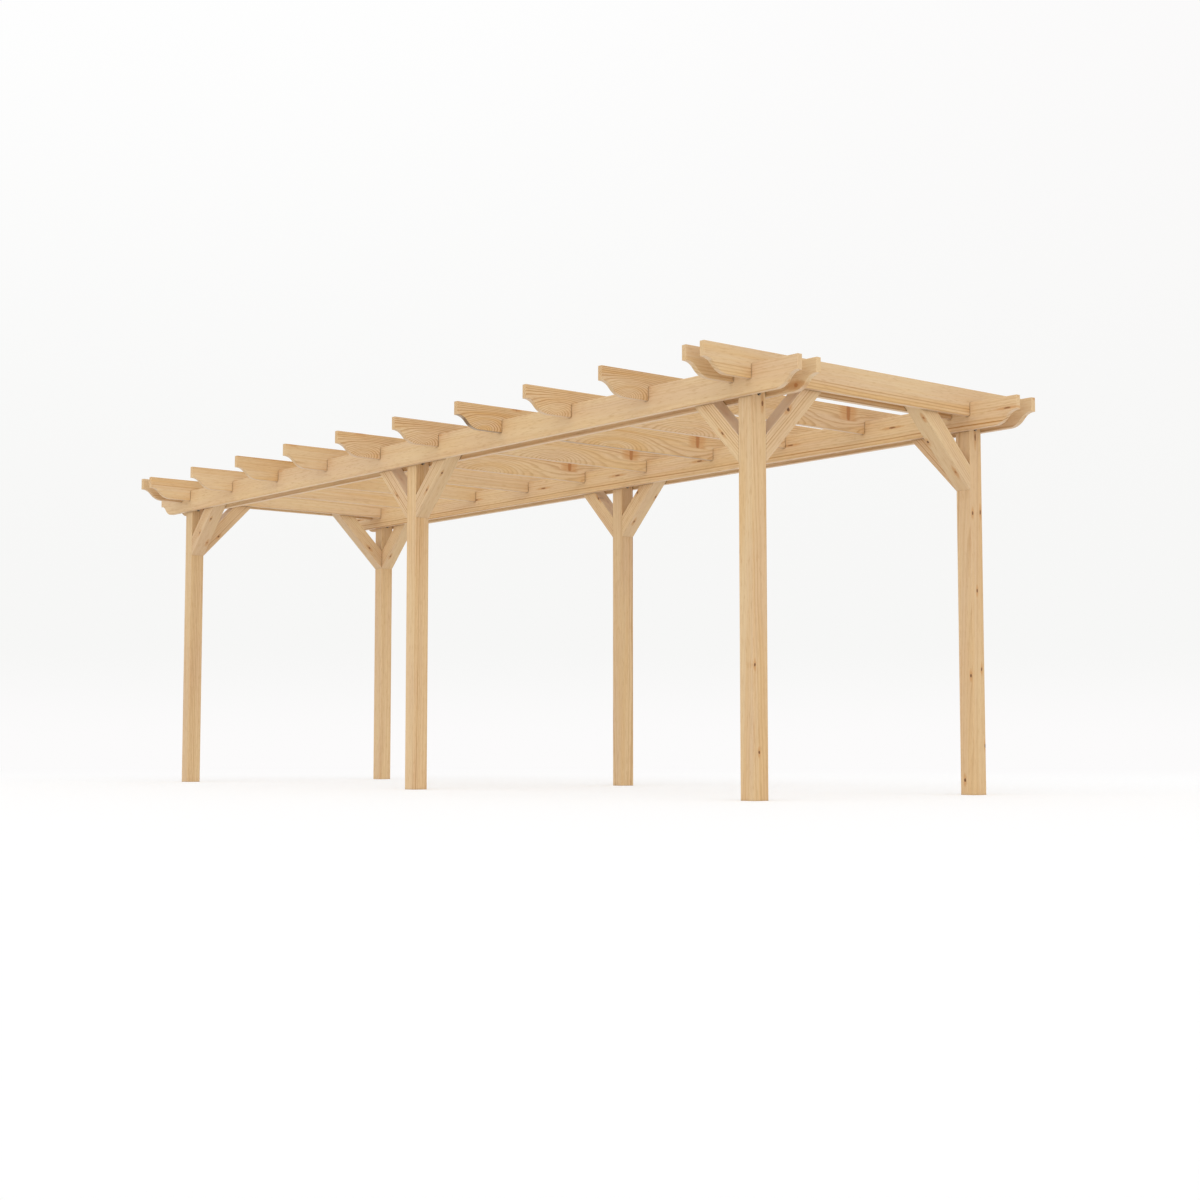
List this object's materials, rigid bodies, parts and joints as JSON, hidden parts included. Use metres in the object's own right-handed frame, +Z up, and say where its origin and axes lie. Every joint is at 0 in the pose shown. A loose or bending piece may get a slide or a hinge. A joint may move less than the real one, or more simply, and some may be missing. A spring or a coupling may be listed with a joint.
{
  "type": "wooden garden pergola",
  "caption": "Free-standing softwood pergola: square posts between paired long beams, notched rafters with scrolled ends, and knee braces at forty-five degrees.",
  "frame": {"origin": "on the ground at the middle of the plan, under the centre of the whole frame", "axes": "+X along the length, +Y across the width from the front row to the back row, +Z up"},
  "size_m": [6.96, 2.532, 2.291],
  "materials": {
    "post_timber": "planed pine, bare, straight grain along the post",
    "beam_timber": "planed pine, bare, straight grain along the board, a few small knots",
    "rafter_timber": "planed pine, bare, arched grain and orange knots on the wide faces",
    "brace_timber": "planed pine, bare, straight grain along the brace, small dark knots"
  },
  "bodies": {
    "root": {"post_front_left": "post_timber", "post_front_middle": "post_timber", "post_front_right": "post_timber", "beam_front_outer": "beam_timber", "beam_front_inner": "beam_timber", "brace_front_left": "brace_timber", "brace_front_middle_left": "brace_timber", "brace_front_middle_right": "brace_timber", "brace_front_right": "brace_timber", "post_back_left": "post_timber", "post_back_middle": "post_timber", "post_back_right": "post_timber", "beam_back_outer": "beam_timber", "beam_back_inner": "beam_timber", "brace_back_left": "brace_timber", "brace_back_middle_left": "brace_timber", "brace_back_middle_right": "brace_timber", "brace_back_right": "brace_timber", "end_brace_left_front": "brace_timber", "end_brace_left_back": "brace_timber", "end_brace_right_front": "brace_timber", "end_brace_right_back": "brace_timber", "rafter_01": "rafter_timber", "rafter_02": "rafter_timber", "rafter_03": "rafter_timber", "rafter_04": "rafter_timber", "rafter_05": "rafter_timber", "rafter_06": "rafter_timber", "rafter_07": "rafter_timber", "rafter_08": "rafter_timber", "rafter_09": "rafter_timber", "rafter_10": "rafter_timber", "rafter_11": "rafter_timber", "rafter_12": "rafter_timber"}
  },
  "joints": []
}
